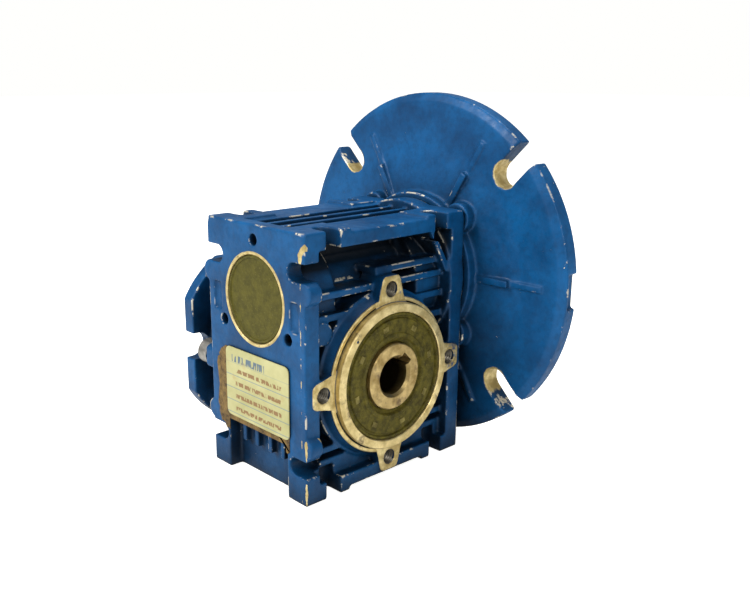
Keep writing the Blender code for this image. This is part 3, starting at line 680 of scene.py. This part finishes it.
def make_motor_flange():
    profile = [(40.3, 14), (40.3, 31), (44.6, 31), (46.9, 50.5), (46.9, 67), (48.4, MOTOR_RADIUS),
               (54.2, MOTOR_RADIUS), (MOTOR_FACE, 69.2), (MOTOR_FACE, 47.5), (51.4, 47.5), (51.4, 14)]
    flange = lathe("disc", "Y", WORM_AXIS, profile, 320)
    for angle in range(0, 360, 60):
        for start, end, width, low in ((30, 60, 1.2, 46.0), (29, 46, 1.4, 44.0)):
            outline = turned([(start, -width), (end, -width), (end, width), (start, width)], angle)
            outline = [(WORM_Z + b, a) for a, b in outline]
            join(flange, prism(f"web{angle}{start}", "Y", outline, low, 48.2))
    for angle in DIAGONALS:
        x, z = turned([(EAR_PITCH, 0)], angle, (0, WORM_Z))[0]
        join(flange, rod(f"boss{angle}", "Y", (z, x), 5.9, 40.6, 47.2, 48))
        cut(flange, rod(f"through{angle}", "Y", (z, x), 2.9, 39, 48, 32))
        cut(flange, rod(f"sink{angle}", "Y", (z, x), 5.1, 47.3, 52, 48))
        outline = turned(slot_outline(52.5, 75, 10.0), angle, (0, WORM_Z))
        cut(flange, prism(f"mouth{angle}", "Y", swapped(outline), 45, 56))
    cut(flange, box("notch", (67.7, 49.5, 63.6), (72, 57, 76.7)))
    show(finish_piece(flange, "motor_flange_skin", 0.45, 5), "housing", MOTOR_PAINT, "motor_flange")


# The fittings


def cap_screw(name, axis, middle, head, shank, hexagon, node):
    """A socket screw. Head and shank are (radius, start, end) along the axis, head first."""
    away = 1 if head[2] > head[1] else -1
    low, high = sorted((head[1], head[2]))
    top = lathe(name, axis, centre_of(axis, middle), [
        (head[1], 0), (head[1], head[0] - 0.4), (head[1] + away * 0.4, head[0]), (head[2], head[0]),
        (head[2], shank[0]), (shank[2], shank[0]), (shank[2], 0)], 48)
    sink = ring_points(hexagon / math.cos(math.pi / 6), 6, middle)
    depth = 0.55 * (high - low)
    span = sorted((head[1] - away, head[1] + away * depth))
    cut(top, prism(f"{name}_hex", axis, sink, span[0], span[1]))
    show(finish_piece(top, f"{node}_fine"), "housing", SCREW, node)


def centre_of(axis, middle):
    centre = [0.0, 0.0, 0.0]
    centre[AXES[axis][0]], centre[AXES[axis][1]] = middle
    return tuple(centre)


def make_screws():
    for i, angle in enumerate(DIAGONALS):
        middle = turned([(COVER_PITCH, 0)], angle, (0, OUT_Z))[0]
        cap_screw(f"cs{i}", "X", middle, (2.9, -28.9, -27.3), (1.65, 0, -20.2), 1.0, f"cover_screw_{i + 1}")
        x, z = turned([(EAR_PITCH, 0)], angle, (0, WORM_Z))[0]
        node = f"motor_flange_screw_{i + 1}"
        cap_screw(f"ms{i}", "Y", (z, x), (4.5, 51.0, 47.6), (2.25, 0, 34.2), 2.0, node)
    for i, angle in enumerate(QUARTERS):
        middle = turned([(EAR_PITCH, 0)], angle, (0, OUT_Z))[0]
        node = f"output_flange_bolt_{i + 1}"
        cap_screw(f"ob{i}", "X", middle, (4.9, -42.3, -36.4), (2.2, 0, -16), 2.5, node)


def make_seals():
    """The output seals: a pressed rim, a stepped rubber face with moulded pads and a sprung lip on the shaft."""
    for node, side in (("near_output_seal", 1), ("far_output_seal", -1)):
        face = [(24.2, 23.4), (28.4, 23.4), (28.4, 24.1), (30.4, 24.1), (30.8, 23.8), (30.8, 23.0),
                (30.1, 22.7), (30.1, 22.0), (30.7, 21.7), (30.7, 16.6), (31.1, 16.2), (31.1, 14.9),
                (30.7, 14.5), (29.9, 14.2), (29.2, 12.75), (28.6, 12.75),
                (28.6, 21.6), (24.2, 21.6)]
        seal = lathe(node, "X", OUTPUT_AXIS, [(side * x, r) for x, r in face], 200)
        show(finish_piece(seal, f"{node}_fine", sharp=25), "housing", SEAL, node)
        for i in range(8):
            outline = turned([(18.2, -1.3), (20.0, -1.3), (20.0, 1.3), (18.2, 1.3)], 45 * i + 14, (0, OUT_Z))
            span = sorted((side * 30.5, side * 30.95))
            pad = prism(f"{node}_pad{i}", "X", outline, span[0], span[1])
            show(finish_piece(pad, f"{node}_pad_{i + 1}"), "housing", PAD)
    profile = [(32.2, 18.4), (38.8, 18.4), (38.8, 10.4), (37.0, 10.4), (37.0, 16.8), (32.2, 16.8)]
    seal = finish_piece(lathe("ms", "Y", WORM_AXIS, profile), "motor_seal_fine")
    show(seal, "housing", BLACK_RUBBER_AND_SHADE, "motor_seal")


def make_cap():
    profile = [(-39.3, 0), (-39.3, 14.6), (-39.7, 14.9), (-39.7, 15.6), (-39.3, 15.95), (-33.7, 15.95), (-33.7, 13.4),
               (-37.4, 13.4), (-37.4, 0)]
    cap = finish_piece(lathe("cap", "Y", WORM_AXIS, profile, 200), "end_cap_fine", sharp=40)
    show(cap, "housing", CAP, "end_cap")


def make_shafts():
    profile = [(-31.2, 8.0), (-31.2, 12.1), (-30.8, 12.5), (-10.9, 12.5), (-10.9, 13.6), (-6.5, 13.6),
               (-6.5, 16.1), (6.5, 16.1), (6.5, 13.6), (10.9, 13.6), (10.9, 12.5), (30.8, 12.5),
               (31.2, 12.1), (31.2, 8.0), (30.2, 7.0), (-30.2, 7.0)]
    hub = lathe("hub", "X", OUTPUT_AXIS, profile, 180)
    key = turned([(0, -2.5), (9.3, -2.5), (9.3, 2.5), (0, 2.5)], 45, (0, OUT_Z))
    cut(hub, prism("keyway", "X", key, -32, 32))
    show(finish_piece(hub, "output_shaft_fine"), "output", HUB, "output_shaft")
    profile = [(20.0, 6.2), (20.0, 9.9), (53.5, 9.9), (54.0, 9.4), (54.0, 6.2), (53.3, 5.55), (20.0, 5.55)]
    sleeve = lathe("sleeve", "Y", WORM_AXIS, profile, 120)
    key = turned([(0, -2), (7.3, -2), (7.3, 2), (0, 2)], 0, (WORM_Z, 0))
    cut(sleeve, prism("motor_key", "Y", key, 29, 56))
    worm = finish_piece(sleeve, "worm_sleeve_fine")
    show(worm, "worm", STEEL)


def make_nameplate():
    """The foil plate with rounded corners, over old glue that shows past its left and lower edges."""
    x0, x1, z0, z1, r = -17.5, 19.5, 22.5, 49.5, 2.2
    outline = []
    for cx, cz, start in ((x1 - r, z1 - r, 0), (x0 + r, z1 - r, 90), (x0 + r, z0 + r, 180), (x1 - r, z0 + r, 270)):
        for i in range(9):
            t = math.radians(start + 90 * i / 8)
            outline.append((cz + r * math.sin(t), cx + r * math.cos(t)))
    plate = prism("plate", "Y", outline, -40.7, -40.35)
    show(finish_piece(plate, "nameplate_fine"), "housing", LABEL, "nameplate")
    smear = []
    for i in range(90):
        t = 2 * math.pi * i / 90
        x = -1.5 + 22.0 * math.copysign(abs(math.cos(t)) ** 0.35, math.cos(t)) + DICE.uniform(-0.8, 0.8)
        z = 32.5 + 17.0 * math.copysign(abs(math.sin(t)) ** 0.35, math.sin(t)) + DICE.uniform(-0.9, 0.9)
        smear.append((min(z, 49.0), min(x, 19.0)))
    glue = prism("smear", "Y", smear, -40.25, -39.9)
    cut(glue, box("gap_trim", (-17.2, -42, 10), (17.2, -38, 20.3)))
    show(finish_piece(glue, "glue_smear"), "housing", GLUE)


def dress_cad():
    """The sealed inner pieces keep their solids and take their metals."""
    for node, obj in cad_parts.items():
        for key, look in (("race", RACE), ("ball_set", RACE), ("wheel_rim", BRONZE), ("worm_shaft", STEEL),
                          ("circlip", SCREW)):
            if key in node:
                obj.data.materials.clear()
                obj.data.materials.append(look)


# The stage


def area_light(name, place, target, size, energy, colour=(1.0, 1.0, 1.0)):
    light = bpy.data.lights.new(name, "AREA")
    light.shape = "DISK"
    light.size = size
    light.energy = energy
    light.color = colour
    obj = bpy.data.objects.new(name, light)
    obj.location = place
    obj.rotation_euler = (Vector(target) - Vector(place)).to_track_quat("-Z", "Y").to_euler()
    bpy.context.scene.collection.objects.link(obj)


def make_stage():
    shape = bmesh.new()
    bmesh.ops.create_grid(shape, x_segments=1, y_segments=1, size=6.0)
    floor = place("floor", shape)
    floor.location = (0, 0, -0.0002)
    look = Look("floor_white", "floor", 0.9)
    look.shader.inputs["Base Color"].default_value = (0.92, 0.92, 0.90, 1.0)
    look.shader.inputs["Emission Color"].default_value = (1.0, 1.0, 0.985, 1.0)
    seen = look.node("ShaderNodeLightPath").outputs["Is Camera Ray"]
    look.link(look.math("MULTIPLY", seen, 0.85), look.shader.inputs["Emission Strength"])
    floor.data.materials.append(look.material)
    world = bpy.data.worlds.new("studio")
    bpy.context.scene.world = world
    world.use_nodes = True
    tree = world.node_tree
    back = tree.nodes["Background"]
    back.inputs["Color"].default_value = (1.0, 1.0, 0.985, 1.0)
    path = tree.nodes.new("ShaderNodeLightPath")
    strength = tree.nodes.new("ShaderNodeMapRange")
    strength.inputs["To Min"].default_value = 0.34
    strength.inputs["To Max"].default_value = 1.0
    tree.links.new(path.outputs["Is Camera Ray"], strength.inputs["Value"])
    tree.links.new(strength.outputs["Result"], back.inputs["Strength"])
    area_light("key", (-0.30, -1.0, 0.85), (0, 0, 0.05), 0.40, 13.5)
    area_light("side", (0.95, -0.35, 0.55), (0, 0, 0.05), 0.30, 3.6)
    area_light("top", (0.0, 0.15, 1.1), (0, 0, 0.05), 0.5, 6)


def make_camera():
    azimuth, elevation, distance = math.radians(47.94), math.radians(14.97), 0.3349
    back = Vector((math.sin(azimuth) * math.cos(elevation), -math.cos(azimuth) * math.cos(elevation),
                   math.sin(elevation)))
    lens = bpy.data.cameras.new("camera")
    lens.sensor_width = 36.0
    lens.lens = 41.65
    lens.shift_x = 0.0493
    lens.shift_y = 0.0100
    lens.clip_start = 0.01
    camera = bpy.data.objects.new("camera", lens)
    camera.location = Vector((0.0, -0.00715, 0.060)) + back * distance
    camera.rotation_euler = back.to_track_quat("Z", "Y").to_euler()
    bpy.context.scene.collection.objects.link(camera)
    bpy.context.scene.camera = camera
    bpy.context.scene.view_settings.view_transform = "Standard"


make_housing()
make_output_seat()
make_side_cover()
make_output_flange()
make_motor_flange()
make_screws()
make_seals()
make_cap()
make_shafts()
make_nameplate()
dress_cad()
make_stage()
make_camera()
